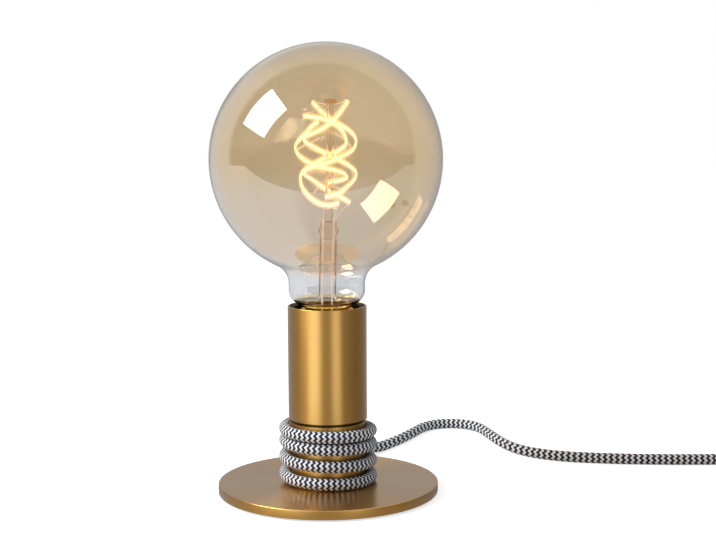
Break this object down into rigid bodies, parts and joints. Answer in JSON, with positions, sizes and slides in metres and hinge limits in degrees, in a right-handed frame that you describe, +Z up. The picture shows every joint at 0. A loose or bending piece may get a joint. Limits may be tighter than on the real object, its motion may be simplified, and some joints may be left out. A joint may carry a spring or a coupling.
{
  "type": "bare bulb table lamp",
  "caption": "Table lamp with a large bare globe bulb in a slim metal sleeve, standing on a flat disc, with its textile cord wound round a short spool below the sleeve",
  "frame": {"origin": "the middle of the foot pad's underside, on the surface that the lamp stands on", "axes": "+Z up along the spool, the sleeve and the bulb; -Y towards the viewer of the picture; +X to the viewer's right, where the cord leads"},
  "size_m": [0.3899, 0.2505, 0.2437],
  "materials": {
    "felt": "black felt",
    "brass": "brushed and lacquered brass",
    "steel": "zinc-plated steel",
    "black_plastic": "matt black plastic",
    "phenolic": "glossy black phenolic moulding",
    "steatite": "glazed ceramic",
    "contact_brass": "bright brass",
    "brown_core": "brown insulation",
    "blue_core": "blue insulation",
    "textile": "black and white zigzag braid",
    "cap_metal": "bright plated shell",
    "amber_glass": "amber lacquered glass with a clear neck",
    "clear_glass": "clear glass",
    "black_glass": "black insulator glass",
    "cement": "lamp cement",
    "solder": "tinned contact",
    "filament": "glowing phosphor strand",
    "wire": "bare wire",
    "board": "resin board",
    "parts": "moulded electronic parts"
  },
  "bodies": {
    "lamp": {"base_pad": "felt", "base_disc": "brass", "spool_tube": "brass", "holder_sleeve": "brass", "base_screws": "steel", "spool_floor": "steel", "spool_cap": "steel", "cord_grip_screws": "steel", "threaded_rod": "steel", "rod_nut": "steel", "lock_washer": "steel", "terminal_screws": "steel", "switch_screws": "steel", "cord_bushing": "black_plastic", "cord_grip": "black_plastic", "sleeve_washer": "black_plastic", "switch_base": "black_plastic", "switch_cover": "black_plastic", "plug_body": "black_plastic", "pin_sheaths": "black_plastic", "coil_tie": "black_plastic", "holder_base": "phenolic", "holder_skirt": "phenolic", "holder_insert": "steatite", "screw_shell": "contact_brass", "terminal_blocks": "contact_brass", "centre_contact": "contact_brass", "side_contact": "contact_brass", "plug_pins": "contact_brass", "core_live": "brown_core", "core_neutral": "blue_core", "cord_lead": "textile", "cord_winding": "textile", "cord_run": "textile", "cord_coil": "textile", "cord_link": "textile", "cord_tail": "textile"},
    "bulb_tip": {"bulb_contact": "solder"},
    "bulb": {"bulb_globe": "amber_glass", "bulb_cap": "cap_metal", "bulb_cement": "cement", "bulb_insulator": "black_glass", "driver_board": "board", "driver_parts": "parts", "driver_posts": "steel", "bulb_stem": "clear_glass", "stem_pinch": "clear_glass", "stem_rod": "clear_glass", "stem_button": "clear_glass", "filament_1": "filament", "filament_2": "filament", "filament_3": "filament", "filament_4": "filament", "filament_wires": "wire", "lead_in_wires": "wire"},
    "rocker": {"switch_rocker": "black_plastic"}
  },
  "joints": [
    {"name": "bulb_rise", "type": "slide", "parent": "lamp", "child": "bulb_tip", "axis": [0, 0, 1], "range_m": [0, 0.0191]},
    {"name": "bulb_turn", "type": "hinge", "parent": "bulb_tip", "child": "bulb", "pos_m": [0, 0, 0.09], "axis": [0, 0, 1], "range_deg": [0, 1890]},
    {"name": "rocker_tilt", "type": "hinge", "parent": "lamp", "child": "rocker", "pos_m": [0.3164, -0.002, 0.0109], "axis": [1, 0, 0], "range_deg": [-14, 0]}
  ],
  "couplings": [
    {"joint": "bulb_rise", "follows": "bulb_turn", "m_per_rad": 0.00057773}
  ]
}
